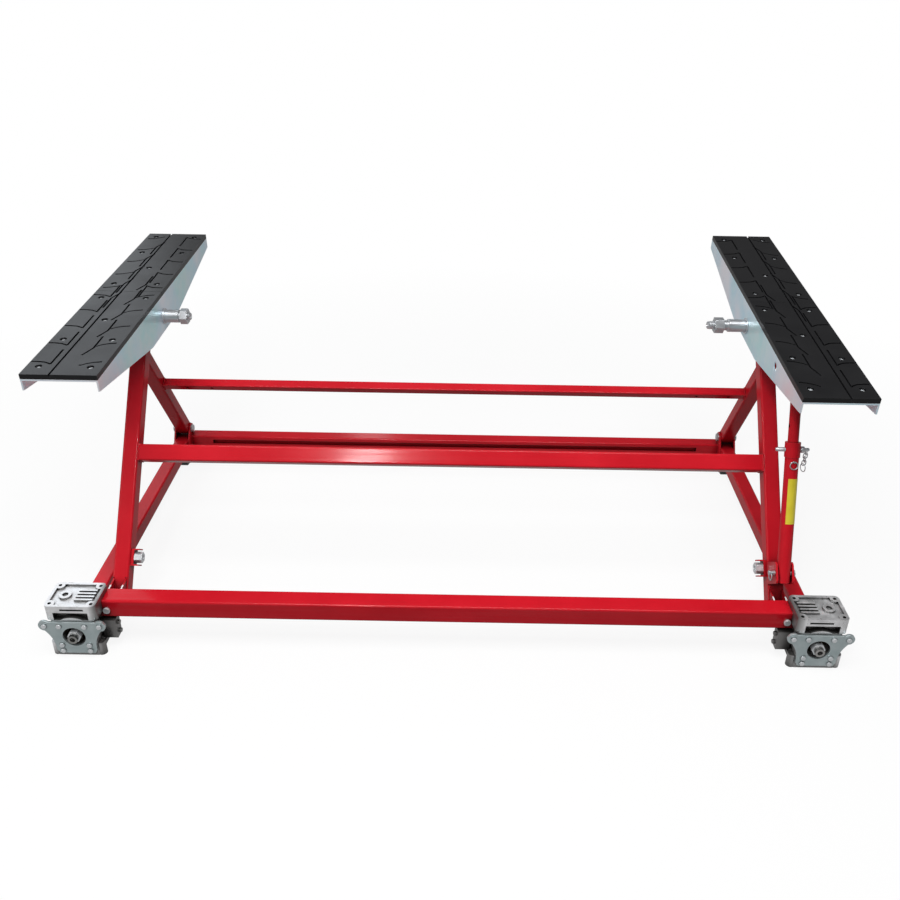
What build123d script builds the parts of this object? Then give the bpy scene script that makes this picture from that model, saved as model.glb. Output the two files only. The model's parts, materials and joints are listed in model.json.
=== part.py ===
# Portable car lift with two crossed leg frames, folded by twin lead screws (mm, +Z up)
# Origin: on the floor, at the middle of the outer box. Front is -Y.
import os
from math import cos, hypot, radians, sin

from build123d import *

# Layout: side view points, measured back from the rear face of the front beam
beam_back = -353.9
hinge_y = beam_back + 57.3
hinge_z = 85.0
rear_pin_y = beam_back + 713.9
rear_pin_z = 85.0
apex_y = beam_back + 411.6
apex_z = 531.6

# Front beam and cross drive
beam_depth = 42.0
beam_height = 40.0
beam_top = 110.0
beam_wall = 3.0
drive_y = beam_back - beam_depth / 2
drive_z = beam_top - beam_height / 2
drive_radius = 7.0
worm_radius = 10.0
worm_length = 38.0

# Gearboxes
screw_x = 733.0
screw_z = 50.0
box_width = 100.0
box_depth = 75.0
box_height = 122.0
block_bottom = 88.0
post_radius = 9.5
body_width = 84.0
foot_radius = 9.0
foot_height = 30.0
boss_radius = 44.0
beam_socket = 6.5
barrel_radius = 21.0
wheel_radius = drive_z - screw_z - worm_radius - 0.4
wheel_width = 18.0
output_bore_radius = 22.5
worm_bore_radius = 13.0
spigot_length = 25.0
plate_thickness = 5.0
plate_top = 86.0
plate_bottom = 9.0
ear_x = 54.0
ear_z = screw_z + 27.0
ear_radius = 12.0

# Lead screws and rails
screw_radius = 7.5
screw_reach = 560.0
nut_bore_radius = 12.0
rail_size = 34.0
rail_wall = 2.5
rail_front = beam_back + 9.0
rail_back = beam_back + 738.0
lug_thickness = 4.0
roller_radius = 16.0
roller_y = beam_back + 664.0
rear_tube_depth = 36.0
pin_radius = 7.0
fit_gap = 0.05
side_gap = 0.4

# Leg frames
tube_wall = 2.0
tube_corner = 4.0
front_leg_x = 677.0
front_leg_size = 33.0
foot_reach = 20.0
foot_slot = 5.5
fork_top = 96.0
fork_bottom = 71.0
fork_pitch = 25.0
fork_thickness = 3.0
tongue_width = 20.7
tongue_depth = 26.0
tongue_length = 78.0
cross_bolt_at = 47.0
mid_bar_size = 35.0
mid_bar_at = 250.0
rear_leg_width = 33.0
rear_leg_depth = 31.0
upper_bar_size = 21.0
upper_bar_at = 229.5

# Pads
pivot_radius = 14.0
pad_length = 772.0
pad_width = 140.5
pad_centre = {-1: 702.0, 1: 709.0}
pad_tilt = {-1: 1.85, 1: 4.74}
rubber_top = 53.0
rubber_thickness = 10.0
tray_thickness = 3.5
cheek_thickness = 3.0
cheek_bottom = -31.0
cheek_flat = 95.0
cheek_tip = 20.0
joint_at = 8.0
tread_pitch = 80.0
groove_width = 4.0
groove_depth = 4.5
screw_hole = 6.6
screw_rows = (-353.0, -236.0, -28.0, 52.0, 250.0, 362.0)
screw_spread = 47.5
centre_screws = (-142.0, 150.0)
stud_shoulder = 597.0
stud_end = {-1: 594.6, 1: 588.0}
stud_nut = {-1: 15.6, 1: 20.0}
stud_tip = {-1: 573.0, 1: 553.0}

# Locking strut, right side only
strut_x = 677.0
strut_y = beam_back + 29.5
strut_z = 153.9
strut_slope = 69.9
strut_outer_radius = 13.4
strut_outer_end = 268.0
lug_gap = 14.0
lug_reach = 58.0
lug_height = 44.0
collar_radius = 15.2
collar_length = 30.0
strut_inner_radius = 10.5
strut_inner_start = 120.0
strut_inner_end = 378.0
spare_hole_at = 300.0
lock_at = 253.0
lock_radius = 4.2
chain_ring = 5.6
chain_pitch = 8.2

front_len = hypot(apex_y - hinge_y, apex_z - hinge_z)
front_dir = (0, (apex_y - hinge_y) / front_len, (apex_z - hinge_z) / front_len)
rear_len = hypot(apex_y - rear_pin_y, apex_z - rear_pin_z)
rear_dir = (0, (apex_y - rear_pin_y) / rear_len, (apex_z - rear_pin_z) / rear_len)
strut_dir = (0, cos(radians(strut_slope)), sin(radians(strut_slope)))
box_front = beam_back - box_depth
box_inner = screw_x - box_width / 2
box_outer = screw_x + box_width / 2
pieces = {}


def along(start, direction, distance, x=0.0):
    """Point at a distance along a side-view line, at the given x."""
    return (x, start[0] + direction[1] * distance, start[1] + direction[2] * distance)


def cross(point):
    """Location whose own z axis runs along x."""
    return Location(point, (0, 90, 0))


def lengthwise(point):
    """Location whose own z axis runs along y."""
    return Location(point, (90, 0, 0))


def leg_plane(point, direction):
    return Plane(origin=point, x_dir=(1, 0, 0), z_dir=direction)


def pad_plane(side):
    tilt = radians(pad_tilt[side])
    return Plane(
        origin=(side * pad_centre[side], apex_y, apex_z),
        x_dir=(1, 0, 0),
        z_dir=(0, -sin(tilt), cos(tilt)),
    )


hinge = (hinge_y, hinge_z)
rear_pin = (rear_pin_y, rear_pin_z)
strut_foot = (strut_y, strut_z)

# Front beam, a hollow square tube between the gearboxes
with BuildPart() as front_beam:
    with BuildSketch(Plane.YZ.offset(-box_inner - beam_socket)):
        with Locations((drive_y, drive_z)):
            RectangleRounded(beam_depth, beam_height, 4)
            RectangleRounded(beam_depth - 2 * beam_wall, beam_height - 2 * beam_wall, 1.5, mode=Mode.SUBTRACT)
    extrude(amount=2 * (box_inner + beam_socket))
    with Locations([lengthwise((side * 675, beam_back - beam_depth, drive_z - 2)) for side in (-1, 1)]):
        Cylinder(3.2, 10, mode=Mode.SUBTRACT)
pieces["front_beam"] = front_beam.part


def gearbox(side):
    """Cast housing: ribbed top block on a slimmer body with corner feet, worm barrel and spigot for the beam."""
    x = side * screw_x
    mid_y = beam_back - box_depth / 2
    post_x = box_width / 2 - post_radius
    post_y = box_depth / 2 - post_radius
    with BuildPart() as box:
        with BuildSketch():
            with Locations((x, mid_y)):
                RectangleRounded(body_width, box_depth, 4)
        extrude(amount=block_bottom)
        with BuildSketch():
            with Locations((x, mid_y)):
                with GridLocations(body_width + 4, box_depth - 2 * foot_radius, 2, 2):
                    Circle(foot_radius)
        extrude(amount=foot_height)
        with BuildSketch(Plane.XY.offset(block_bottom)):
            with Locations((x, mid_y)):
                RectangleRounded(box_width, box_depth, post_radius)
        extrude(amount=box_height - block_bottom)
        # Hollow under the front rim, with the round output boss standing in it
        with Locations((x, box_front, block_bottom + 9)):
            Box(68, 24, 18, mode=Mode.SUBTRACT)
        with Locations(lengthwise((x, box_front + 12, screw_z))):
            Cylinder(boss_radius, 24)
        # Side flange below the beam, with two round knobs
        with Locations((side * (box_inner - 4), drive_y - 16, 44)):
            Box(36, 22, 44)
        with Locations([cross((side * (box_inner - 24), drive_y - 16, z)) for z in (33, 54)]):
            Cylinder(4.5, 6)
        # Barrel round the worm, and the square socket that the beam end sits in
        with Locations(cross((x, drive_y, drive_z))):
            Cylinder(barrel_radius, box_width)
        with Locations((side * (box_inner + 7), drive_y, drive_z)):
            Box(14, beam_depth, beam_height)
        with Locations((side * (box_inner + beam_socket / 2 - 0.5), drive_y, drive_z)):
            Box(beam_socket + 1, beam_depth, beam_height, mode=Mode.SUBTRACT)
        # Recessed top: four ribs on the half next to the beam, a round boss on the outer half
        with BuildSketch(Plane.XY.offset(box_height)):
            with Locations((x, mid_y)):
                RectangleRounded(box_width - 12, box_depth - 12, 6)
                with GridLocations(2 * post_x, 2 * post_y, 2, 2):
                    Circle(post_radius, mode=Mode.SUBTRACT)
            with Locations((x - side * 21, mid_y)):
                with GridLocations(0, 9.5, 1, 4):
                    Rectangle(36, 4.5, mode=Mode.SUBTRACT)
            with Locations((x + side * 20, mid_y)):
                Circle(12, mode=Mode.SUBTRACT)
        extrude(amount=-4, mode=Mode.SUBTRACT)
        with Locations((x + side * 20, mid_y, box_height)):
            Cylinder(6, 8, mode=Mode.SUBTRACT)
        with Locations((x, mid_y, box_height)):
            with GridLocations(2 * post_x, 2 * post_y, 2, 2):
                Cylinder(3.5, 24, mode=Mode.SUBTRACT)
        # Cast-in slot under the top rim, front face
        with Locations((x - side * 4, box_front, box_height - 9)):
            Box(46, 8, 4, mode=Mode.SUBTRACT)
        # Side flutes between the corner feet
        with Locations([(x + side * s * body_width / 2, mid_y, z) for s in (-1, 1) for z in (14, 31, 48)]):
            Box(5, box_depth - 4 * foot_radius, 9, mode=Mode.SUBTRACT)
        # Output bore and wheel chamber
        with Locations(lengthwise((x, mid_y, screw_z))):
            Cylinder(output_bore_radius, box_depth + 2, mode=Mode.SUBTRACT)
        with Locations(lengthwise((x, drive_y, screw_z))):
            Cylinder(wheel_radius + 3, wheel_width + 6, mode=Mode.SUBTRACT)
        # Spigot inside the beam end
        with BuildSketch(Plane.YZ.offset(side * (box_inner - spigot_length))):
            with Locations((drive_y, drive_z)):
                RectangleRounded(beam_depth - 2 * beam_wall - 0.4, beam_height - 2 * beam_wall - 0.4, 2)
        extrude(amount=side * (spigot_length + 10))
        with Locations(cross((side * (box_inner + box_outer - spigot_length - 3) / 2, drive_y, drive_z))):
            Cylinder(worm_bore_radius, box_width + spigot_length - 1, mode=Mode.SUBTRACT)
        with Locations(lengthwise((side * 675, beam_back - beam_depth + 5, drive_z - 2))):
            Cylinder(3.0, 10, mode=Mode.SUBTRACT)
    return box.part


def gusset_plate(side, y):
    """Zinc plate with two round ears, hollowed lower sides and a flat foot."""
    x = side * screw_x
    with BuildPart() as plate:
        with BuildSketch(Plane.XZ.offset(-y)):
            with BuildLine():
                top = Line((x - ear_x + 8, plate_top), (x + ear_x - 8, plate_top))
                right = ThreePointArc(top @ 1, (x + ear_x + ear_radius, ear_z), (x + ear_x + 1, ear_z - ear_radius))
                hollow = RadiusArc(right @ 1, (x + 40, plate_bottom + 8), -70)
                corner = Line(hollow @ 1, (x + 35, plate_bottom))
                foot = Line(corner @ 1, (x - 35, plate_bottom))
                corner_left = Line(foot @ 1, (x - 40, plate_bottom + 8))
                hollow_left = RadiusArc(corner_left @ 1, (x - ear_x - 1, ear_z - ear_radius), -70)
                ThreePointArc(hollow_left @ 1, (x - ear_x - ear_radius, ear_z), top @ 0)
            make_face()
            with Locations((x, screw_z)):
                Circle(output_bore_radius, mode=Mode.SUBTRACT)
        extrude(amount=plate_thickness)
    return plate.part


def front_leg(side):
    x = side * front_leg_x
    foot = leg_plane((x, hinge_y, hinge_z), front_dir)
    inner = front_leg_size - 2 * tube_wall
    with BuildPart() as leg:
        with BuildSketch(foot.offset(-foot_reach)):
            RectangleRounded(front_leg_size, front_leg_size, tube_corner)
            RectangleRounded(inner, inner, tube_corner - tube_wall, mode=Mode.SUBTRACT)
        extrude(amount=front_len + foot_reach)
        # Slots in the front wall, where the fork plates come in
        with BuildSketch(foot.offset(-foot_reach)):
            with Locations([(s * fork_pitch / 2, -front_leg_size / 2) for s in (-1, 1)]):
                Rectangle(fork_thickness + 1.2, 8)
        extrude(amount=foot_reach + foot_slot, mode=Mode.SUBTRACT)
        with Locations(cross((x, apex_y, apex_z))):
            Cylinder(front_leg_size / 2, front_leg_size)
            Cylinder(pivot_radius + fit_gap, front_leg_size + 2, mode=Mode.SUBTRACT)
        with Locations(cross(along(hinge, front_dir, cross_bolt_at, x))):
            Cylinder(5.2, front_leg_size + 2, mode=Mode.SUBTRACT)
    return leg.part


def rear_leg(side):
    x = side * screw_x
    foot = leg_plane((x, rear_pin_y, rear_pin_z), rear_dir)
    with BuildPart() as leg:
        with BuildSketch(foot):
            RectangleRounded(rear_leg_width, rear_leg_depth, tube_corner)
            RectangleRounded(
                rear_leg_width - 2 * tube_wall,
                rear_leg_depth - 2 * tube_wall,
                tube_corner - tube_wall,
                mode=Mode.SUBTRACT,
            )
        extrude(amount=rear_len)
        with Locations(cross((x, apex_y, apex_z))):
            Cylinder(front_leg_size / 2, rear_leg_width)
            Cylinder(pivot_radius + fit_gap, rear_leg_width + 2, mode=Mode.SUBTRACT)
        with Locations(cross((x, rear_pin_y, rear_pin_z))):
            Cylinder(rear_leg_depth / 2, rear_leg_width)
            Cylinder(pin_radius, rear_leg_width + 2, mode=Mode.SUBTRACT)
    return leg.part


def rail(side):
    with BuildPart() as tube:
        with BuildSketch(Plane.XZ.offset(-rail_front)):
            with Locations((side * screw_x, screw_z)):
                RectangleRounded(rail_size, rail_size, tube_corner)
                RectangleRounded(rail_size - 2 * rail_wall, rail_size - 2 * rail_wall, 1.5, mode=Mode.SUBTRACT)
        extrude(amount=-(rail_back - rail_front))
    return tube.part


def lead_screw(side):
    with BuildPart() as screw:
        with BuildSketch(Plane.XZ.offset(-(box_front - 5))):
            with Locations((side * screw_x, screw_z)):
                Circle(screw_radius)
        extrude(amount=-(screw_reach + box_depth + 5))
        # Driving end in front of the plate, with a threaded bore
        with BuildSketch(Plane.XZ.offset(-(box_front - 5))):
            with Locations((side * screw_x, screw_z)):
                Circle(9.5)
        extrude(amount=9)
        with Locations(lengthwise((side * screw_x, box_front - 14, screw_z))):
            Cylinder(5.2, 20, mode=Mode.SUBTRACT)
    return screw.part


def worm_wheel(side):
    with BuildPart() as wheel:
        with Locations(lengthwise((side * screw_x, drive_y, screw_z))):
            Cylinder(wheel_radius, wheel_width)
            Cylinder(14, wheel_width + 5.6)
            Cylinder(screw_radius, wheel_width + 8, mode=Mode.SUBTRACT)
    return wheel.part


def shaft_nut(side):
    with BuildPart() as nut:
        with BuildSketch(Plane.XZ.offset(-(box_front - 5))):
            with Locations((side * screw_x, screw_z)):
                RegularPolygon(14, 6)
                Circle(screw_radius, mode=Mode.SUBTRACT)
        extrude(amount=-10)
    return nut.part


def roller(side):
    with BuildPart() as wheel:
        with Locations(cross((side * screw_x, roller_y, roller_radius))):
            Cylinder(roller_radius, rail_size - 2 * side_gap)
            Cylinder(5 + fit_gap, rail_size + 2, mode=Mode.SUBTRACT)
        chamfer(wheel.edges().filter_by(GeomType.CIRCLE).group_by(SortBy.RADIUS)[-1], 2)
    return wheel.part


def pivot_shaft(side):
    """Shaft through both legs and both cheeks, with a head outside and a thread inside."""
    head = pad_centre[side] + pad_width / 2 + side_gap
    steps = (
        (head, head + 5, 18),
        (stud_shoulder, head, pivot_radius),
        (stud_end[side], stud_shoulder, 11),
        (stud_tip[side], stud_end[side], 9),
    )
    with BuildPart() as shaft:
        for start, end, radius in steps:
            with Locations(cross((side * (start + end) / 2, apex_y, apex_z))):
                Cylinder(radius, end - start)
    return shaft.part


def pivot_nut(side):
    with BuildPart() as nut:
        with BuildSketch(Plane.YZ.offset(side * stud_end[side])):
            with Locations((apex_y, apex_z)):
                RegularPolygon(17.5, 6)
                Circle(9, mode=Mode.SUBTRACT)
        extrude(amount=-side * stud_nut[side])
    return nut.part


def pivot_spacers(side):
    """Thin ring outside the inner cheek and tubes between cheeks and legs."""
    inner_cheek = pad_centre[side] - pad_width / 2
    outer_cheek = pad_centre[side] + pad_width / 2
    front_in = front_leg_x - front_leg_size / 2
    front_out = front_leg_x + front_leg_size / 2
    rear_in = screw_x - rear_leg_width / 2
    rear_out = screw_x + rear_leg_width / 2
    spans = (
        (inner_cheek - 3 - side_gap, inner_cheek - side_gap),
        (inner_cheek + cheek_thickness + side_gap, front_in - side_gap),
        (front_out + side_gap, rear_in - side_gap),
        (rear_out + side_gap, outer_cheek - cheek_thickness - side_gap),
    )
    with BuildPart() as rings:
        for start, end in spans:
            with Locations(cross((side * (start + end) / 2, apex_y, apex_z))):
                Cylinder(17, end - start)
        with Locations(cross((side * front_leg_x, apex_y, apex_z))):
            Cylinder(pivot_radius, 400, mode=Mode.SUBTRACT)
    return rings.part


def pad_tray(side):
    """Bent steel channel: flat top, two cheeks deep in the middle and sloping up to the ends."""
    base = pad_plane(side)
    section = Plane(origin=base.origin, x_dir=base.x_dir, z_dir=-base.y_dir)
    flank = Plane(origin=base.origin, x_dir=base.y_dir, z_dir=base.x_dir)
    top = rubber_top - rubber_thickness
    with BuildPart() as tray:
        with BuildSketch(section):
            with BuildLine():
                Polyline(
                    (-pad_width / 2, cheek_bottom),
                    (-pad_width / 2, top),
                    (pad_width / 2, top),
                    (pad_width / 2, cheek_bottom),
                    (pad_width / 2 - cheek_thickness, cheek_bottom),
                    (pad_width / 2 - cheek_thickness, top - tray_thickness),
                    (cheek_thickness - pad_width / 2, top - tray_thickness),
                    (cheek_thickness - pad_width / 2, cheek_bottom),
                    close=True,
                )
            make_face()
        extrude(amount=pad_length / 2, both=True)
        with BuildSketch(flank):
            for end in (-1, 1):
                with BuildLine():
                    Polyline(
                        (end * cheek_flat, cheek_bottom),
                        (end * pad_length / 2, cheek_tip),
                        (end * (pad_length / 2 + 1), cheek_bottom - 1),
                        (end * cheek_flat, cheek_bottom - 1),
                        close=True,
                    )
                make_face()
        extrude(amount=pad_width, both=True, mode=Mode.SUBTRACT)
        with BuildSketch(flank):
            Circle(pivot_radius + fit_gap)
        extrude(amount=pad_width, both=True, mode=Mode.SUBTRACT)
        if side > 0:
            with BuildSketch(flank.offset(-pad_width / 2 - 1)):
                with Locations((-217, 21)):
                    Circle(9.5)
            extrude(amount=cheek_thickness + 2, mode=Mode.SUBTRACT)
        with BuildSketch(base.offset(top)):
            with Locations([(s * screw_spread, y) for y in screw_rows for s in (-1, 1)]):
                Circle(4)
            with Locations([(0, y) for y in centre_screws]):
                Circle(4)
        extrude(amount=-tray_thickness, mode=Mode.SUBTRACT)
    return tray.part


def pad_rubber(side):
    """Two lengths of tyre tread, the rear one turned end for end, with their main grooves and screw holes."""
    base = pad_plane(side)
    bottom = base.offset(rubber_top - rubber_thickness)
    half = pad_length / 2
    with BuildPart() as rubber:
        with BuildSketch(bottom):
            with Locations((0, (joint_at - 0.5 - half) / 2)):
                Rectangle(pad_width, half + joint_at - 0.5)
            with Locations((0, (joint_at + 0.5 + half) / 2)):
                Rectangle(pad_width, half - joint_at - 0.5)
            with Locations([(s * screw_spread, y) for y in screw_rows for s in (-1, 1)]):
                Circle(screw_hole, mode=Mode.SUBTRACT)
            with Locations([(0, y) for y in centre_screws]):
                Circle(screw_hole, mode=Mode.SUBTRACT)
        extrude(amount=rubber_thickness)
        with BuildSketch(base.offset(rubber_top)):
            with Locations((side * 16, 0)):
                Rectangle(groove_width, pad_length)
            for turn in (1, -1):
                for step in range(5):
                    start = -344 + step * tread_pitch
                    saw = [(-29.5, start), (-29.5, start + 62)]
                    hook = [(13.5, start + 39), (24.5, start + 70), (24.5, start + 122)]
                    for path in (saw, hook):
                        flip = [(-side * turn * px, py if turn > 0 else 2 * joint_at - py) for px, py in path]
                        with BuildLine():
                            Polyline(*flip)
                        trace(line_width=groove_width)
        extrude(amount=-groove_depth, mode=Mode.SUBTRACT)
    return rubber.part


def pad_screws(side):
    base = pad_plane(side)
    floor = rubber_top - rubber_thickness
    spots = [(s * screw_spread, y) for y in screw_rows for s in (-1, 1)] + [(0, y) for y in centre_screws]
    with BuildPart() as screws:
        with BuildSketch(base.offset(floor)):
            with Locations(spots):
                Circle(screw_hole - 0.6)
        extrude(amount=7.5)
        with BuildSketch(base.offset(floor)):
            with Locations(spots):
                Circle(3.9)
        extrude(amount=-8)
    return screws.part


for side, name in ((-1, "left"), (1, "right")):
    pieces["gearbox_" + name] = gearbox(side)
    pieces["front_plate_" + name] = gusset_plate(side, box_front)
    pieces["rear_plate_" + name] = gusset_plate(side, beam_back + plate_thickness)
    pieces["worm_wheel_" + name] = worm_wheel(side)
    pieces["lead_screw_" + name] = lead_screw(side)
    pieces["shaft_nut_" + name] = shaft_nut(side)
    pieces["front_leg_" + name] = front_leg(side)
    pieces["rear_leg_" + name] = rear_leg(side)
    pieces["rail_" + name] = rail(side)
    pieces["roller_" + name] = roller(side)
    pieces["pivot_shaft_" + name] = pivot_shaft(side)
    pieces["pivot_nut_" + name] = pivot_nut(side)
    pieces["pivot_spacers_" + name] = pivot_spacers(side)
    pieces["pad_tray_" + name] = pad_tray(side)
    pieces["pad_rubber_" + name] = pad_rubber(side)
    pieces["pad_screws_" + name] = pad_screws(side)

# Cross drive shaft and the worm on each end
with BuildPart() as drive_shaft:
    with Locations(cross((0, drive_y, drive_z))):
        Cylinder(drive_radius, 2 * (box_outer - 4))
pieces["drive_shaft"] = drive_shaft.part

with BuildPart() as worms:
    for side in (-1, 1):
        with Locations(cross((side * screw_x, drive_y, drive_z))):
            Cylinder(worm_radius, worm_length)
            Cylinder(drive_radius, worm_length + 2, mode=Mode.SUBTRACT)
pieces["worms"] = worms.part

# Round caps over the worm bearings, on the outer sides of the gearboxes
with BuildPart() as bearing_caps:
    for side in (-1, 1):
        with BuildSketch(Plane.YZ.offset(side * box_outer)):
            with Locations((drive_y, drive_z)):
                Circle(21)
        extrude(amount=side * 9, taper=12)
pieces["bearing_caps"] = bearing_caps.part

# Forks behind the gearbox plates: two plates on a web, carrying the front hinge pins
web_y = beam_back + plate_thickness + 2
with BuildPart() as hinge_forks:
    for side in (-1, 1):
        x = side * front_leg_x
        for offset in (-fork_pitch / 2, fork_pitch / 2):
            with BuildSketch(Plane.YZ.offset(x + offset - fork_thickness / 2)):
                with Locations((hinge_y, hinge_z)):
                    Circle(13)
                with Locations((web_y, (fork_top + fork_bottom) / 2)):
                    Rectangle(4, fork_top - fork_bottom)
                make_hull()
                with Locations((hinge_y, hinge_z)):
                    Circle(pin_radius, mode=Mode.SUBTRACT)
            extrude(amount=fork_thickness)
        with Locations((x, web_y, (fork_top + fork_bottom) / 2)):
            Box(fork_pitch + fork_thickness, 4, fork_top - fork_bottom)
        with Locations((side * (box_inner - 10.5), beam_back + plate_thickness / 2, fork_top - 3)):
            Box(20, plate_thickness, 5)
pieces["hinge_forks"] = hinge_forks.part

# Tongues that turn on the hinge pins and run up inside the front legs
with BuildPart() as leg_tongues:
    for side in (-1, 1):
        x = side * front_leg_x
        with BuildSketch(leg_plane((x, hinge_y, hinge_z), front_dir)):
            Rectangle(tongue_width, tongue_depth)
        extrude(amount=tongue_length)
        with Locations(cross((x, hinge_y, hinge_z))):
            Cylinder(tongue_depth / 2, tongue_width)
            Cylinder(pin_radius, tongue_width + 2, mode=Mode.SUBTRACT)
        with Locations(cross(along(hinge, front_dir, cross_bolt_at, x))):
            Cylinder(5.2, tongue_width + 2, mode=Mode.SUBTRACT)
pieces["leg_tongues"] = leg_tongues.part

# Lead nuts in the front ends of the rails
with BuildPart() as lead_nuts:
    for side in (-1, 1):
        with BuildSketch(Plane.XZ.offset(-rail_front - 2)):
            with Locations((side * screw_x, screw_z)):
                RectangleRounded(rail_size - 2 * rail_wall, rail_size - 2 * rail_wall, 1.5)
                Circle(nut_bore_radius, mode=Mode.SUBTRACT)
        extrude(amount=-36)
pieces["lead_nuts"] = lead_nuts.part

# Screws of the gusset plates, front and rear, on both gearboxes
plate_spots = [(dx, 27) for dx in (-54, -25, 25, 54)] + [(dx, dz) for dx in (-27, 27) for dz in (-20, -34)]
with BuildPart() as plate_screws:
    for side in (-1, 1):
        for face_y, out in ((box_front - plate_thickness, 1), (beam_back + plate_thickness, -1)):
            spots = [s for s in plate_spots if out > 0 or s[0] * side > -40]
            with BuildSketch(Plane.XZ.offset(-face_y)):
                with Locations([(side * screw_x + dx, screw_z + dz) for dx, dz in spots]):
                    RegularPolygon(5.5, 6)
            extrude(amount=out * 4)
pieces["plate_screws"] = plate_screws.part

# Screws that hold the beam on the gearbox spigots
with BuildPart() as beam_screws:
    for side in (-1, 1):
        with Locations(lengthwise((side * 675, beam_back - beam_depth - 2.5, drive_z - 2))):
            Cylinder(7, 5)
        with Locations(lengthwise((side * 675, beam_back - beam_depth + 3.5, drive_z - 2))):
            Cylinder(2.9, 7)
pieces["beam_screws"] = beam_screws.part

# Front hinge pins, kept in place by the walls of the leg tubes
with BuildPart() as hinge_pins:
    for side in (-1, 1):
        with Locations(cross((side * front_leg_x, hinge_y, hinge_z))):
            Cylinder(pin_radius - fit_gap, fork_pitch + fork_thickness + 0.2)
pieces["hinge_pins"] = hinge_pins.part

# Mid bar between the front legs, front faces flush
mid_length = 2 * (front_leg_x - front_leg_size / 2)
mid_plane = leg_plane(along(hinge, front_dir, mid_bar_at, -mid_length / 2), front_dir)
with BuildPart() as mid_bar:
    with BuildSketch(Plane(mid_plane.origin, x_dir=mid_plane.y_dir, z_dir=(1, 0, 0))):
        with Locations(((mid_bar_size - front_leg_size) / 2, mid_bar_size / 2)):
            RectangleRounded(mid_bar_size, mid_bar_size, tube_corner)
            RectangleRounded(mid_bar_size - 2 * tube_wall, mid_bar_size - 2 * tube_wall, 1.5, mode=Mode.SUBTRACT)
    extrude(amount=mid_length)
pieces["mid_bar"] = mid_bar.part

# Upper bar between the rear legs, with small holes in its front face
upper_length = 2 * (screw_x - rear_leg_width / 2)
upper_plane = leg_plane(along(rear_pin, rear_dir, upper_bar_at, -upper_length / 2), rear_dir)
with BuildPart() as upper_bar:
    with BuildSketch(Plane(upper_plane.origin, x_dir=upper_plane.y_dir, z_dir=(1, 0, 0))):
        with Locations((0, upper_bar_size / 2)):
            RectangleRounded(upper_bar_size, upper_bar_size, 2.5)
            RectangleRounded(upper_bar_size - 4, upper_bar_size - 4, 1, mode=Mode.SUBTRACT)
    extrude(amount=upper_length)
    with BuildSketch(Plane(upper_plane.origin, x_dir=(1, 0, 0), z_dir=-upper_plane.y_dir)):
        with Locations([(x + upper_length / 2, upper_bar_size / 2) for x in (-658, -598, 598, 676)]):
            Circle(3.5)
    extrude(amount=upper_bar_size, mode=Mode.SUBTRACT)
pieces["upper_bar"] = upper_bar.part

# Cross bolts that hold the tongues in the legs, with a hex head outside, a nut inside and a keeper round the nut
leg_inner = front_leg_x - front_leg_size / 2
leg_outer = front_leg_x + front_leg_size / 2
keeper_base = 6.0
bolt_centre = along(hinge, front_dir, cross_bolt_at)
with BuildPart() as leg_bolts:
    for side in (-1, 1):
        for start, end, radius in ((leg_outer + 6, leg_outer, 9), (leg_outer, leg_inner - 21, 5)):
            with Locations(cross((side * (start + end) / 2, bolt_centre[1], bolt_centre[2]))):
                Cylinder(radius, start - end)
pieces["leg_bolts"] = leg_bolts.part

with BuildPart() as leg_nuts:
    for side in (-1, 1):
        spot = (side * (leg_inner - keeper_base), bolt_centre[1], bolt_centre[2])
        with BuildSketch(Plane(spot, x_dir=front_dir, z_dir=(side, 0, 0))):
            RegularPolygon(12, 6)
            Circle(5, mode=Mode.SUBTRACT)
        extrude(amount=-16)
pieces["leg_nuts"] = leg_nuts.part

with BuildPart() as nut_guards:
    for side in (-1, 1):
        spot = (side * leg_inner, bolt_centre[1], bolt_centre[2])
        with BuildSketch(Plane(spot, x_dir=front_dir, z_dir=(side, 0, 0))):
            Rectangle(35, 22)
            Circle(5, mode=Mode.SUBTRACT)
        extrude(amount=-keeper_base)
        with BuildSketch(Plane(spot, x_dir=front_dir, z_dir=(side, 0, 0))):
            with Locations((-16.2, 0), (16.2, 0)):
                Rectangle(2.6, 22)
        extrude(amount=-16.5)
pieces["nut_guards"] = nut_guards.part

# Carriage: rear cross tube with a long channel, lugs beside the rails, pins and axles
with BuildPart() as rear_tube:
    with BuildSketch(Plane.YZ.offset(-(screw_x - rail_size / 2 - lug_thickness))):
        with Locations((rail_back - rear_tube_depth / 2, screw_z)):
            RectangleRounded(rear_tube_depth, rail_size, tube_corner)
            RectangleRounded(rear_tube_depth - 6, rail_size - 6, 1.5, mode=Mode.SUBTRACT)
    extrude(amount=2 * (screw_x - rail_size / 2 - lug_thickness))
    # Long pressed-in channel along the front wall
    with Locations((0, rail_back - rear_tube_depth + 6, screw_z + 1)):
        Box(1316, 11, 18)
    with Locations((0, rail_back - rear_tube_depth + 3.5, screw_z + 1)):
        Box(1310, 9, 12, mode=Mode.SUBTRACT)
pieces["rear_tube"] = rear_tube.part

with BuildPart() as rail_lugs:
    for side in (-1, 1):
        for face in (screw_x - rail_size / 2 - lug_thickness, screw_x + rail_size / 2):
            with BuildSketch(Plane.YZ.offset(face if side > 0 else -face - lug_thickness)):
                with Locations((rear_pin_y, rear_pin_z)):
                    Circle(14)
                with Locations((roller_y, roller_radius)):
                    Circle(10)
                with Locations((rear_pin_y - 6, screw_z)):
                    Rectangle(40, 30)
                make_hull()
                with Locations((rear_pin_y, rear_pin_z)):
                    Circle(pin_radius, mode=Mode.SUBTRACT)
                with Locations((roller_y, roller_radius)):
                    Circle(5, mode=Mode.SUBTRACT)
            extrude(amount=lug_thickness)
pieces["rail_lugs"] = rail_lugs.part

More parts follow.
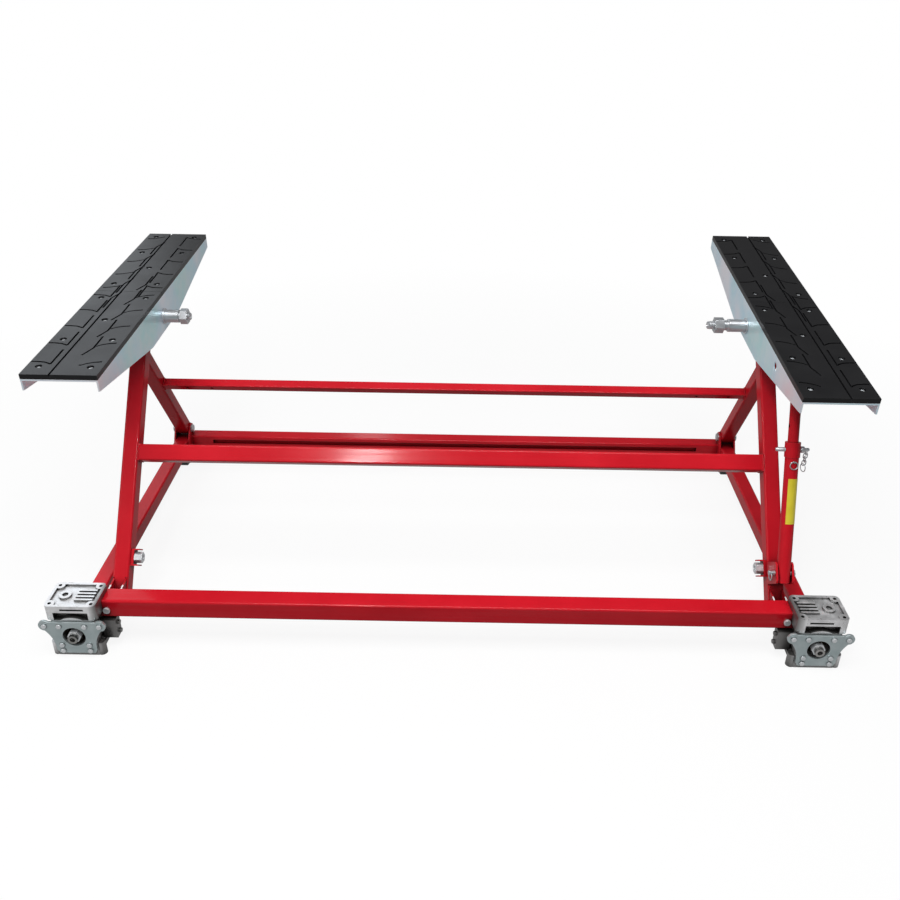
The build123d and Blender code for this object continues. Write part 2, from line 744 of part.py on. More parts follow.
with BuildPart() as rear_pins:
    for side in (-1, 1):
        with Locations(cross((side * screw_x, rear_pin_y, rear_pin_z))):
            Cylinder(pin_radius - fit_gap, rail_size + 2 * lug_thickness + 8)
        with Locations([cross((side * screw_x + s * 23.5, rear_pin_y, rear_pin_z)) for s in (-1, 1)]):
            Cylinder(10, 4.6)
pieces["rear_pins"] = rear_pins.part

with BuildPart() as roller_axles:
    for side in (-1, 1):
        with Locations(cross((side * screw_x, roller_y, roller_radius))):
            Cylinder(5 - fit_gap, rail_size + 2 * lug_thickness + 6)
pieces["roller_axles"] = roller_axles.part

# Locking strut: bracket on the right front leg, foot bolt and clip, two tubes, lock pin on a chain
lug_thickness_strut = 4.0
lug_foot = leg_plane(along(hinge, front_dir, 15.0, strut_x), front_dir)
lug_front = front_leg_size / 2
with BuildPart() as strut_lugs:
    with BuildSketch(lug_foot):
        with Locations((0, -lug_front - lug_thickness_strut / 2)):
            Rectangle(2 * (lug_gap + lug_thickness_strut), lug_thickness_strut)
        with Locations([(s * (lug_gap + lug_thickness_strut / 2), -lug_front - lug_reach / 2) for s in (-1, 1)]):
            Rectangle(lug_thickness_strut, lug_reach)
    extrude(amount=lug_height)
    tips = strut_lugs.edges().filter_by(Axis.X).filter_by(lambda e: abs(e.length - lug_thickness_strut) < 0.1)
    fillet(tips.sort_by(lambda e: lug_foot.to_local_coords(e.center()).Y)[:4], 9)
    with Locations(cross((strut_x, strut_y, strut_z))):
        Cylinder(5, 80, mode=Mode.SUBTRACT)
pieces["strut_lugs"] = strut_lugs.part

with BuildPart() as strut_bolt:
    with Locations(cross((strut_x - 4, strut_y, strut_z))):
        Cylinder(5 - fit_gap, 52)
    with Locations(lengthwise((strut_x - 25, strut_y, strut_z))):
        Cylinder(2.4, 12, mode=Mode.SUBTRACT)
    with Locations(cross((strut_x + lug_gap + lug_thickness_strut + 2, strut_y, strut_z))):
        Cylinder(6.5, 4)
pieces["strut_bolt"] = strut_bolt.part

with BuildPart() as strut_clip:
    with Locations(cross((strut_x - 25, strut_y, strut_z - 8))):
        Torus(8, 1.2)
pieces["strut_clip"] = strut_clip.part

strut_plane = leg_plane((strut_x, strut_y, strut_z), strut_dir)
with BuildPart() as strut_outer:
    with BuildSketch(strut_plane.offset(-18)):
        Circle(strut_outer_radius)
    extrude(amount=strut_outer_end + 18)
    with BuildSketch(strut_plane.offset(strut_outer_end - collar_length)):
        Circle(collar_radius)
    extrude(amount=collar_length)
    with BuildSketch(strut_plane.offset(30)):
        Circle(strut_inner_radius + fit_gap)
    extrude(amount=strut_outer_end, mode=Mode.SUBTRACT)
    with Locations(cross((strut_x, strut_y, strut_z))):
        Cylinder(5, 60, mode=Mode.SUBTRACT)
    with Locations(cross(along(strut_foot, strut_dir, lock_at, strut_x))):
        Cylinder(lock_radius + fit_gap, 60, mode=Mode.SUBTRACT)
pieces["strut_outer"] = strut_outer.part

with BuildPart() as strut_inner:
    with BuildSketch(strut_plane.offset(strut_inner_start)):
        Circle(strut_inner_radius)
        Circle(strut_inner_radius - 2.5, mode=Mode.SUBTRACT)
    extrude(amount=strut_inner_end - strut_inner_start - 6)
    with BuildSketch(strut_plane.offset(strut_inner_end - 6)):
        Circle(strut_inner_radius)
    extrude(amount=6)
    with Locations(cross(along(strut_foot, strut_dir, lock_at, strut_x))):
        Cylinder(lock_radius + fit_gap, 60, mode=Mode.SUBTRACT)
    with Locations(cross(along(strut_foot, strut_dir, spare_hole_at, strut_x))):
        Cylinder(lock_radius, 60, mode=Mode.SUBTRACT)
pieces["strut_inner"] = strut_inner.part

lock_centre = along(strut_foot, strut_dir, lock_at, strut_x)
pin_eye = strut_x + 28
with BuildPart() as lock_pin:
    for start, end, radius in ((-33.8, 16, lock_radius), (16, 23, 6.5), (23, 33, 3.4)):
        with Locations(cross((strut_x + (start + end) / 2, lock_centre[1], lock_centre[2]))):
            Cylinder(radius, end - start)
    with Locations(lengthwise((pin_eye, lock_centre[1], lock_centre[2]))):
        Cylinder(2.7, 12, mode=Mode.SUBTRACT)
pieces["lock_pin"] = lock_pin.part

with BuildPart() as lock_chain:
    for link in range(4):
        spot = (pin_eye, lock_centre[1], lock_centre[2] - chain_ring - link * chain_pitch)
        with Locations(Location(spot, (90, 0, 0) if link % 2 else (0, 90, 0))):
            Torus(chain_ring, 1.2)
    with Locations(Location((pin_eye, lock_centre[1], lock_centre[2] - 41.3), (0, 90, 0))):
        Torus(8.5, 1.2)
pieces["lock_chain"] = lock_chain.part

# Wire ring for the chain, hung from a small stud on the front of the strut
ring_spot = along(strut_foot, strut_dir, lock_at - 30, strut_x)
ring_plane = Plane(ring_spot, x_dir=(1, 0, 0), z_dir=-strut_plane.y_dir).offset(strut_outer_radius + 1.4)
stud_spot = along(strut_foot, strut_dir, lock_at - 30 + 6.6, strut_x)
stud_plane = Plane(stud_spot, x_dir=(1, 0, 0), z_dir=-strut_plane.y_dir).offset(strut_outer_radius)
with BuildPart() as chain_loop:
    with Locations(ring_plane):
        Torus(7.5, 1.0)
    with BuildSketch(stud_plane):
        Circle(1.8)
    extrude(amount=3.4)
pieces["chain_loop"] = chain_loop.part

os.makedirs("parts", exist_ok=True)
for label, solid in pieces.items():
    solid.label = label
    export_step(solid, "parts/" + label + ".step")
print(len(pieces), "pieces written")
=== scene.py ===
import json
from math import cos, pi, radians, sin

import bpy
from mathutils import Matrix, Vector


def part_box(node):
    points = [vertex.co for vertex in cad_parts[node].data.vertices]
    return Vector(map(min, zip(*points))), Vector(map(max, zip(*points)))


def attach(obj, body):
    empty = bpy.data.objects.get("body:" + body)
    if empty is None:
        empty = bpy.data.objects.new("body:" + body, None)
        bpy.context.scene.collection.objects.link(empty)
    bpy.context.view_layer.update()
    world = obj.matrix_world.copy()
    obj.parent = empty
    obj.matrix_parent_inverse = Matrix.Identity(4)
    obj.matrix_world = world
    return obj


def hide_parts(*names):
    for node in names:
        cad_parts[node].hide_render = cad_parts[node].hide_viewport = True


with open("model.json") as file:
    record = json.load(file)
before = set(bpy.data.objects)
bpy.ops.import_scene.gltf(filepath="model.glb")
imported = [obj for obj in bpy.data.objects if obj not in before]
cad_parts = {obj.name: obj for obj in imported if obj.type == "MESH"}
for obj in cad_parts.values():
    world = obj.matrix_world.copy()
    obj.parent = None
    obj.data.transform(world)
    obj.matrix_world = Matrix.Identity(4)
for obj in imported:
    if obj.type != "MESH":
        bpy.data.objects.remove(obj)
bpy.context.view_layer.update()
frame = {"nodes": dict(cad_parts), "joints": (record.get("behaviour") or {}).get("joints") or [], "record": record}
nodes = frame["nodes"]
node_slot = {entry["node"]: entry["material_slot"] for entry in frame["record"]["subparts"]}
node_body = {}
for body_name, members in frame["record"]["behaviour"]["bodies"].items():
    for member in members:
        node_body[member] = body_name
joint_spot = {joint["name"]: Vector(joint["pos_m"]) for joint in frame["joints"] if joint.get("pos_m")}

# Directions, places and sizes that several pieces share, in metres
X_AXIS = Vector((1, 0, 0))
Y_AXIS = Vector((0, 1, 0))
Z_AXIS = Vector((0, 0, 1))
SIDES = {"left": -1, "right": 1}
HINGE = joint_spot["lift_fold"]
APEX = joint_spot["rear_fold"]
REAR_PIN = joint_spot["carriage_level"]
STRUT_FOOT = joint_spot["strut_swing"]
PAD_PIVOT = {side: joint_spot["pad_" + side + "_tilt"] for side in SIDES}
PAD_TILT = {"left": radians(1.85), "right": radians(4.74)}
PAD_HALF_WIDTH = 0.07025
STRUT_LEAN = radians(69.9)
FRONT_DIR = (APEX - HINGE).normalized()
REAR_DIR = (APEX - REAR_PIN).normalized()
STRUT_DIR = Vector((0, cos(STRUT_LEAN), sin(STRUT_LEAN)))
BEAM_BACK = -0.3539


# Helpers for modelling in object and edit mode
def clear_selection():
    if bpy.context.object and bpy.context.object.mode != "OBJECT":
        bpy.ops.object.mode_set(mode="OBJECT")
    bpy.ops.object.select_all(action="DESELECT")


def make_active(piece):
    clear_selection()
    piece.select_set(True)
    bpy.context.view_layer.objects.active = piece


def apply_modifier(piece, kind, **settings):
    make_active(piece)
    bpy.ops.object.modifier_add(type=kind)
    modifier = piece.modifiers[-1]
    for key, value in settings.items():
        setattr(modifier, key, value)
    bpy.ops.object.modifier_apply(modifier=modifier.name)


def bevel_edges(piece, width, angle=40):
    apply_modifier(
        piece,
        "BEVEL",
        width=width,
        segments=2,
        limit_method="ANGLE",
        angle_limit=radians(angle),
        use_clamp_overlap=True,
    )


def cut_away(piece, cutter):
    """Take the cutter's shape out of a piece and delete the cutter."""
    apply_modifier(piece, "BOOLEAN", object=cutter, operation="DIFFERENCE", solver="EXACT")
    bpy.data.objects.remove(cutter)


def smooth(piece, angle):
    make_active(piece)
    bpy.ops.object.shade_smooth_by_angle(angle=radians(angle))


def weigh_normals(piece):
    """Smooth shading in which the large flat faces keep their own direction."""
    smooth(piece, angle=35)
    apply_modifier(piece, "WEIGHTED_NORMAL", keep_sharp=True, weight=100)


def place(piece, matrix):
    """Put a piece modelled round the origin at its place, with the place in its mesh."""
    piece.matrix_world = matrix
    make_active(piece)
    bpy.ops.object.transform_apply(location=True, rotation=True, scale=True)


def join(pieces, name):
    clear_selection()
    for piece in pieces:
        piece.select_set(True)
    bpy.context.view_layer.objects.active = pieces[0]
    bpy.ops.object.join()
    whole = bpy.context.object
    whole.name = name
    return whole


def copy_of(piece, matrix):
    twin = bpy.data.objects.new(piece.name, piece.data.copy())
    bpy.context.scene.collection.objects.link(twin)
    place(twin, matrix)
    return twin


def dress(piece, name, body, material, replaced=None):
    """Name a finished piece, give it its finish and let it move with its body."""
    piece.name = name
    piece.data.materials.clear()
    piece.data.materials.append(material)
    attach(piece, body)
    if replaced:
        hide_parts(replaced)


def frame_matrix(origin, x_axis, z_axis):
    x_axis = x_axis.normalized()
    z_axis = z_axis.normalized()
    y_axis = z_axis.cross(x_axis)
    return Matrix.Translation(origin) @ Matrix((x_axis, y_axis, z_axis)).transposed().to_4x4()


def pad_matrix(side):
    tilt = PAD_TILT[side]
    return frame_matrix(PAD_PIVOT[side], X_AXIS, Vector((0, -sin(tilt), cos(tilt))))


def merged_copy(node):
    """A copy of a CAD node's mesh with its loose triangles merged into clean faces."""
    piece = bpy.data.objects.new(node + "_dressed", nodes[node].data.copy())
    bpy.context.scene.collection.objects.link(piece)
    make_active(piece)
    bpy.ops.mesh.customdata_custom_splitnormals_clear()
    bpy.ops.object.mode_set(mode="EDIT")
    bpy.ops.mesh.select_all(action="SELECT")
    bpy.ops.mesh.remove_doubles(threshold=1e-6)
    bpy.ops.mesh.dissolve_limited(angle_limit=radians(0.6))
    bpy.ops.object.mode_set(mode="OBJECT")
    return piece


def face_outwards():
    """Turn all faces of the mesh in edit mode outwards, and leave edit mode."""
    bpy.ops.mesh.select_all(action="SELECT")
    bpy.ops.mesh.normals_make_consistent(inside=False)
    bpy.ops.object.mode_set(mode="OBJECT")


def lathe(profile, steps):
    """A turned piece: the profile of (radius, height) points goes round the z axis."""
    first_radius, first_height = profile[0]
    clear_selection()
    bpy.ops.mesh.primitive_circle_add(vertices=steps, radius=first_radius, location=(0, 0, first_height))
    piece = bpy.context.object
    bpy.ops.object.transform_apply(location=True)
    bpy.ops.object.mode_set(mode="EDIT")
    bpy.ops.mesh.select_all(action="SELECT")
    bpy.ops.mesh.edge_face_add()
    for (radius, height), (next_radius, next_height) in zip(profile, profile[1:]):
        rise = (0, 0, next_height - height)
        bpy.ops.mesh.extrude_region_move(TRANSFORM_OT_translate={"value": rise})
        ratio = next_radius / radius
        bpy.ops.transform.resize(value=(ratio, ratio, 1), center_override=(0, 0, next_height))
    bpy.ops.mesh.edge_face_add()
    face_outwards()
    return piece


# Shader nodes that the finishes, the floor and the world share
def rgb(red, green, blue):
    return (red, green, blue, 1.0)


def link(tree, source, target):
    tree.links.new(source, target)


def fill(node, **values):
    """Set inputs of a node by their names, with _ for each space."""
    for name, value in values.items():
        node.inputs[name.replace("_", " ")].default_value = value


def math_node(tree, operation):
    made = tree.nodes.new("ShaderNodeMath")
    made.operation = operation
    return made


def map_range(tree, source, low, high, start, end):
    """A value that goes from low to high while the source goes from start to end."""
    made = tree.nodes.new("ShaderNodeMapRange")
    fill(made, From_Min=start, From_Max=end, To_Min=low, To_Max=high)
    link(tree, source, made.inputs["Value"])
    return made.outputs["Result"]


def add_input(group, name, value):
    socket = group.interface.new_socket(name=name, in_out="INPUT", socket_type="NodeSocketFloat")
    socket.default_value = value


def add_output(group, name):
    group.interface.new_socket(name=name, in_out="OUTPUT", socket_type="NodeSocketFloat")


def build_fine_grain():
    """Fine noise for bump and a broad noise for uneven colour and gloss."""
    group = bpy.data.node_groups.new("fine_grain", "ShaderNodeTree")
    add_input(group, "Grain Scale", 900.0)
    add_input(group, "Patch Scale", 9.0)
    add_input(group, "Patch Detail", 5.0)
    add_output(group, "Grain")
    add_output(group, "Patch")
    start = group.nodes.new("NodeGroupInput")
    end = group.nodes.new("NodeGroupOutput")
    where = group.nodes.new("ShaderNodeTexCoord")
    grain = group.nodes.new("ShaderNodeTexNoise")
    fill(grain, Detail=3)
    patch = group.nodes.new("ShaderNodeTexNoise")
    fill(patch, Roughness=0.6)
    link(group, where.outputs["Object"], grain.inputs["Vector"])
    link(group, where.outputs["Object"], patch.inputs["Vector"])
    link(group, start.outputs["Grain Scale"], grain.inputs["Scale"])
    link(group, start.outputs["Patch Scale"], patch.inputs["Scale"])
    link(group, start.outputs["Patch Detail"], patch.inputs["Detail"])
    link(group, grain.outputs["Fac"], end.inputs["Grain"])
    link(group, patch.outputs["Fac"], end.inputs["Patch"])
    return group


def build_edge_mask():
    """White along outer edges: where the rounded normal leaves the true normal."""
    group = bpy.data.node_groups.new("edge_mask", "ShaderNodeTree")
    add_input(group, "Sharpness", 18.0)
    add_input(group, "Breakup Scale", 120.0)
    add_output(group, "Mask")
    start = group.nodes.new("NodeGroupInput")
    end = group.nodes.new("NodeGroupOutput")
    shape = group.nodes.new("ShaderNodeNewGeometry")
    rounded = group.nodes.new("ShaderNodeBevel")
    rounded.samples = 6
    fill(rounded, Radius=0.0016)
    dot = group.nodes.new("ShaderNodeVectorMath")
    dot.operation = "DOT_PRODUCT"
    away = math_node(group, "SUBTRACT")
    away.inputs[0].default_value = 1.0
    gain = math_node(group, "MULTIPLY")
    where = group.nodes.new("ShaderNodeTexCoord")
    noise = group.nodes.new("ShaderNodeTexNoise")
    fill(noise, Detail=4)
    broken = math_node(group, "MULTIPLY")
    broken.use_clamp = True
    link(group, shape.outputs["Normal"], dot.inputs[0])
    link(group, rounded.outputs["Normal"], dot.inputs[1])
    link(group, dot.outputs["Value"], away.inputs[1])
    link(group, away.outputs["Value"], gain.inputs[0])
    link(group, start.outputs["Sharpness"], gain.inputs[1])
    link(group, where.outputs["Object"], noise.inputs["Vector"])
    link(group, start.outputs["Breakup Scale"], noise.inputs["Scale"])
    link(group, gain.outputs["Value"], broken.inputs[0])
    link(group, noise.outputs["Fac"], broken.inputs[1])
    link(group, broken.outputs["Value"], end.inputs["Mask"])
    return group


def build_painted_shade():
    """Painted shade mask: black in corners and hollows where shade falls, white on open faces."""
    group = bpy.data.node_groups.new("painted_shade", "ShaderNodeTree")
    add_input(group, "Distance", 0.03)
    add_input(group, "Black Point", 0.35)
    add_input(group, "White Point", 0.85)
    add_output(group, "Mask")
    start = group.nodes.new("NodeGroupInput")
    end = group.nodes.new("NodeGroupOutput")
    shade = group.nodes.new("ShaderNodeAmbientOcclusion")
    shade.samples = 8
    level = group.nodes.new("ShaderNodeMapRange")
    link(group, start.outputs["Distance"], shade.inputs["Distance"])
    link(group, shade.outputs["AO"], level.inputs["Value"])
    link(group, start.outputs["Black Point"], level.inputs["From Min"])
    link(group, start.outputs["White Point"], level.inputs["From Max"])
    link(group, level.outputs["Result"], end.inputs["Mask"])
    return group


fine_grain = build_fine_grain()
edge_mask = build_edge_mask()
painted_shade = build_painted_shade()


class Finish:
    """A material in the making: its node tree, its shader and the ways to add to them."""

    def __init__(self, name, **settings):
        self.material = bpy.data.materials.new(name)
        self.material.use_nodes = True
        self.tree = self.material.node_tree
        self.shader = self.tree.nodes["Principled BSDF"]
        fill(self.shader, **settings)

    def node(self, kind, **inputs):
        made = self.tree.nodes.new(kind)
        fill(made, **inputs)
        return made

    def effect(self, group, **inputs):
        """A shared node group, placed with its own values."""
        made = self.tree.nodes.new("ShaderNodeGroup")
        made.node_tree = group
        fill(made, **inputs)
        return made

    def grain(self, grain_scale, patch_scale, patch_detail=5.0):
        return self.effect(
            fine_grain, Grain_Scale=grain_scale, Patch_Scale=patch_scale, Patch_Detail=patch_detail
        )

    def edges(self, sharpness, breakup):
        return self.effect(edge_mask, Sharpness=sharpness, Breakup_Scale=breakup)

    # The painted shade mask, with its own distance and black and white points.
    def painted_shade(self, distance, black, white):
        return self.effect(painted_shade, Distance=distance, Black_Point=black, White_Point=white)

    def tints(self, source, stops):
        """A ramp through several colours, given as (position, colour)."""
        made = self.node("ShaderNodeValToRGB")
        ramp = made.color_ramp
        while len(ramp.elements) < len(stops):
            ramp.elements.new(0.5)
        for element, (position, colour) in zip(ramp.elements, stops):
            element.position = position
            element.color = colour
        link(self.tree, source, made.inputs["Fac"])
        return made.outputs["Color"]

    def ramp(self, source, low, high, start=0.35, end=0.65):
        return self.tints(source, ((start, low), (end, high)))

    def spread(self, source, low, high, start=0.3, end=0.7):
        return map_range(self.tree, source, low, high, start, end)

    def mix(self, factor, first, second):
        """A blend of two colours, each of them fixed or put out by another node."""
        made = self.node("ShaderNodeMix")
        made.data_type = "RGBA"
        link(self.tree, factor, made.inputs["Factor"])
        ends = [socket for socket in made.inputs if socket.type == "RGBA"]
        for value, socket in zip((first, second), ends):
            if isinstance(value, tuple):
                socket.default_value = value
            else:
                link(self.tree, value, socket)
        return [socket for socket in made.outputs if socket.type == "RGBA"][0]

    def along(self, vector, axis):
        """One coordinate of a vector."""
        parts = self.node("ShaderNodeSeparateXYZ")
        link(self.tree, vector, parts.inputs[0])
        return parts.outputs[axis]

    def spot(self, axis):
        """One coordinate of the place on the object, in metres."""
        where = self.node("ShaderNodeTexCoord")
        return self.along(where.outputs["Object"], axis)

    def either_way(self, source):
        """A value without its sign."""
        made = math_node(self.tree, "ABSOLUTE")
        link(self.tree, source, made.inputs[0])
        return made.outputs["Value"]

    def beyond(self, start, end):
        """0 near the middle of the lift, rising to 1 from start to end on both sides."""
        return self.spread(self.either_way(self.spot("X")), 0.0, 1.0, start, end)

    def narrow_sides(self):
        """1 on faces that look away from the x axis, such as the edges of upright plates."""
        shape = self.node("ShaderNodeNewGeometry")
        across = self.either_way(self.along(shape.outputs["Normal"], "X"))
        return self.spread(across, 1.0, 0.0, start=0.3, end=0.6)

    def both(self, first, second):
        """1 only where both masks are 1."""
        made = math_node(self.tree, "MULTIPLY")
        link(self.tree, first, made.inputs[0])
        link(self.tree, second, made.inputs[1])
        return made.outputs["Value"]

    def colour(self, source):
        link(self.tree, source, self.shader.inputs["Base Color"])

    def rough(self, source):
        link(self.tree, source, self.shader.inputs["Roughness"])

    def bump(self, source, distance, strength):
        made = self.node("ShaderNodeBump", Strength=strength, Distance=distance)
        link(self.tree, source, made.inputs["Height"])
        link(self.tree, made.outputs["Normal"], self.shader.inputs["Normal"])


# Finishes of the lift
RED_GLOSS = {"Specular_IOR_Level": 0.06, "Coat_Weight": 0.06, "Coat_IOR": 2.4}
# Where the fork plates' narrow edges go from near white to red, along y from the beam
WHITE_EDGE_END = BEAM_BACK + 0.024
RED_EDGE_START = BEAM_BACK + 0.027


def red_powder_coat(name):
    """Powder coat, with a painted highlight along its edges and painted shade in corners."""
    finish = Finish(name, Coat_Roughness=0.12, **RED_GLOSS)
    grain = finish.grain(grain_scale=650, patch_scale=6)
    edges = finish.edges(sharpness=10, breakup=90)
    base = finish.ramp(grain.outputs["Patch"], rgb(0.54, 0.008, 0.017), rgb(0.62, 0.011, 0.022))
    # Painted highlight: a paler red along the edges.
    pale_edges = finish.mix(edges.outputs["Mask"], base, rgb(0.62, 0.03, 0.04))
    # Painted shade: near-black red in corners, hollows and close under other parts.
    unshaded = finish.painted_shade(distance=0.05, black=0.25, white=0.80)
    finish.colour(finish.mix(unshaded.outputs["Mask"], rgb(0.06, 0.002, 0.003), pale_edges))
    finish.rough(finish.spread(grain.outputs["Patch"], low=0.20, high=0.28))
    finish.bump(grain.outputs["Grain"], distance=0.00010, strength=0.30)
    return finish


def red_frame_paint():
    return red_powder_coat("red_frame_paint").material


def red_tube_paint():
    """The same paint on the long cross tubes, with faint drawing lines along them in its gloss."""
    finish = red_powder_coat("red_tube_paint")
    where = finish.node("ShaderNodeTexCoord")
    stretch = finish.node("ShaderNodeMapping", Scale=(2.5, 420.0, 420.0))
    lines = finish.node("ShaderNodeTexNoise", Scale=1.0, Detail=2.0)
    link(finish.tree, where.outputs["Object"], stretch.inputs["Vector"])
    link(finish.tree, stretch.outputs["Vector"], lines.inputs["Vector"])
    gloss = finish.spread(lines.outputs["Fac"], low=0.025, high=0.10, start=0.38, end=0.62)
    link(finish.tree, gloss, finish.shader.inputs["Coat Weight"])
    return finish.material


def white_edged_red_paint():
    """The frame's paint on the hinge forks, near white on their narrow edges next to the beam."""
    finish = Finish("white_edged_red_paint", Coat_Roughness=0.14, **RED_GLOSS)
    grain = finish.grain(grain_scale=650, patch_scale=6)
    base = finish.ramp(grain.outputs["Patch"], rgb(0.42, 0.006, 0.012), rgb(0.52, 0.008, 0.016))
    near_beam = finish.spread(finish.spot("Y"), 1.0, 0.0, start=WHITE_EDGE_END, end=RED_EDGE_START)
    # Near-white narrow edges of the fork plates close to the beam.
    white_edges = finish.both(finish.narrow_sides(), near_beam)
    finish.colour(finish.mix(white_edges, base, rgb(0.90, 0.90, 0.92)))
    finish.rough(finish.spread(grain.outputs["Patch"], low=0.24, high=0.34))
    finish.bump(grain.outputs["Grain"], distance=0.00010, strength=0.30)
    return finish.material


def zinc_sheet():
    """Zinc plated sheet with a faint pink, blue and green passivation tint."""
    finish = Finish("zinc_sheet", Metallic=0.55)
    grain = finish.grain(grain_scale=420, patch_scale=7, patch_detail=1.0)
    mottle = finish.grain(grain_scale=240, patch_scale=26, patch_detail=2.0)
    edges = finish.edges(sharpness=12, breakup=150)
    tint = finish.tints(
        grain.outputs["Patch"],
        (
            (0.26, rgb(0.92, 0.84, 0.89)),
            (0.40, rgb(0.80, 0.85, 0.94)),
            (0.52, rgb(0.60, 0.82, 0.94)),
            (0.66, rgb(0.56, 0.85, 0.88)),
        ),
    )
    cloud = finish.spread(mottle.outputs["Patch"], low=0.0, high=0.35, start=0.35, end=0.65)
    tint = finish.mix(cloud, tint, rgb(0.92, 0.94, 0.95))
    finish.colour(finish.mix(edges.outputs["Mask"], tint, rgb(0.90, 0.93, 0.95)))
    finish.rough(finish.spread(mottle.outputs["Patch"], low=0.30, high=0.40))
    finish.bump(grain.outputs["Grain"], distance=0.00003, strength=0.2)
    return finish.material


def dull_zinc():
    """Heavier zinc plate of the gearbox flanges, duller and greyer than the sheet."""
    finish = Finish("dull_zinc", Metallic=0.75)
    grain = finish.grain(grain_scale=380, patch_scale=30)
    edges = finish.edges(sharpness=14, breakup=200)
    tone = finish.ramp(grain.outputs["Patch"], rgb(0.42, 0.50, 0.51), rgb(0.54, 0.61, 0.62))
    bright = finish.mix(edges.outputs["Mask"], tone, rgb(0.74, 0.79, 0.80))
    # Painted shade: near black in narrow corners and gaps.
    unshaded = finish.painted_shade(distance=0.006, black=0.45, white=0.90)
    finish.colour(finish.mix(unshaded.outputs["Mask"], rgb(0.10, 0.11, 0.11), bright))
    finish.rough(finish.spread(grain.outputs["Grain"], low=0.34, high=0.48))
    finish.bump(grain.outputs["Grain"], distance=0.00008, strength=0.4)
    return finish.material


def cast_alloy():
    """Die-cast alloy, pitted, with a painted highlight along its edges and painted shade in corners and on its
    side next to the beam.
    """
    finish = Finish("cast_alloy", Metallic=0.8)
    grain = finish.grain(grain_scale=520, patch_scale=34, patch_detail=3.0)
    edges = finish.edges(sharpness=16, breakup=200)
    tone = finish.ramp(grain.outputs["Patch"], rgb(0.70, 0.70, 0.71), rgb(0.97, 0.97, 0.98))
    # Painted highlight: edges turned almost white.
    bright = finish.mix(edges.outputs["Mask"], tone, rgb(0.97, 0.97, 0.98))
    pores = finish.grain(grain_scale=210, patch_scale=60)
    sound = finish.spread(pores.outputs["Grain"], low=0.0, high=1.0, start=0.22, end=0.38)
    pitted = finish.mix(sound, rgb(0.24, 0.235, 0.23), bright)
    # Painted shade: darker grey on the inboard side, next to the beam.
    shaded_inboard = finish.mix(finish.beyond(start=0.684, end=0.697), rgb(0.25, 0.245, 0.24), pitted)
    # Painted shade: near black in corners and hollows.
    unshaded = finish.painted_shade(distance=0.03, black=0.35, white=0.85)
    finish.colour(finish.mix(unshaded.outputs["Mask"], rgb(0.045, 0.043, 0.04), shaded_inboard))
    finish.rough(finish.spread(grain.outputs["Patch"], low=0.26, high=0.50, start=0.35, end=0.65))
    finish.bump(grain.outputs["Patch"], distance=0.00060, strength=0.5)
    return finish.material


def plain_finish(name, scales, tones, gloss, bump, pale_edges=None, gloss_from="Patch", **settings):
    """Uneven tone and gloss with a fine grain, and paler edges where the edge settings are given.

    scales holds the grain and patch scale, tones the two ends of the tone, gloss those of the
    roughness, bump a distance and strength, and the edge settings the paler edges' sharpness, breakup and tone.
    """
    finish = Finish(name, **settings)
    grain = finish.grain(*scales)
    tone = finish.ramp(grain.outputs["Patch"], *tones)
    if pale_edges:
        sharpness, breakup, pale = pale_edges
        edges = finish.edges(sharpness, breakup)
        tone = finish.mix(edges.outputs["Mask"], tone, pale)
    finish.colour(tone)
    finish.rough(finish.spread(grain.outputs[gloss_from], *gloss))
    finish.bump(grain.outputs["Grain"], *bump)
    return finish.material


def bright_steel():
    return plain_finish(
        "bright_steel",
        scales=(800, 20),
        tones=(rgb(0.44, 0.46, 0.48), rgb(0.56, 0.57, 0.59)),
        gloss=(0.26, 0.40),
        bump=(0.00004, 0.3),
        pale_edges=(12, 250, rgb(0.80, 0.81, 0.83)),
        Metallic=0.8,
    )


def bright_zinc():
    """Fresh zinc on the small screws and nuts, lighter than the turned shafts."""
    return plain_finish(
        "bright_zinc",
        scales=(800, 30),
        tones=(rgb(0.66, 0.69, 0.71), rgb(0.82, 0.84, 0.86)),
        gloss=(0.24, 0.38),
        bump=(0.00004, 0.3),
        pale_edges=(12, 250, rgb(0.94, 0.95, 0.96)),
        Metallic=0.6,
    )


def oiled_steel():
    return plain_finish(
        "oiled_steel",
        scales=(700, 25),
        tones=(rgb(0.30, 0.30, 0.29), rgb(0.46, 0.45, 0.44)),
        gloss=(0.25, 0.45),
        bump=(0.00005, 0.3),
        Metallic=1.0,
    )


def bronze():
    return plain_finish(
        "bronze",
        scales=(600, 22),
        tones=(rgb(0.42, 0.25, 0.08), rgb(0.58, 0.38, 0.15)),
        gloss=(0.28, 0.42),
        bump=(0.00005, 0.3),
        Metallic=1.0,
    )


def tread_rubber():
    return plain_finish(
        "tread_rubber",
        scales=(1100, 12),
        tones=(rgb(0.007, 0.007, 0.008), rgb(0.011, 0.011, 0.012)),
        gloss=(0.30, 0.40),
        bump=(0.00008, 0.4),
        pale_edges=(8, 180, rgb(0.022, 0.022, 0.024)),
        Specular_IOR_Level=0.20,
    )


def black_moulding():
    return plain_finish(
        "black_moulding",
        scales=(900, 18),
        tones=(rgb(0.012, 0.012, 0.012), rgb(0.022, 0.022, 0.023)),
        gloss=(0.42, 0.56),
        bump=(0.00008, 0.4),
        gloss_from="Grain",
        Specular_IOR_Level=0.45,
    )


def yellow_label():
    return plain_finish(
        "yellow_label",
        scales=(300, 30),
        tones=(rgb(0.70, 0.57, 0.030), rgb(0.78, 0.66, 0.04)),
        gloss=(0.32, 0.46),
        bump=(0.00003, 0.3),
        Coat_Weight=0.3,
        Coat_Roughness=0.15,
    )


red = red_frame_paint()
red_tube = red_tube_paint()
white_edged_red = white_edged_red_paint()
plate_zinc = dull_zinc()
steel = bright_steel()
fastener = bright_zinc()
rubber = tread_rubber()
yellow = yellow_label()

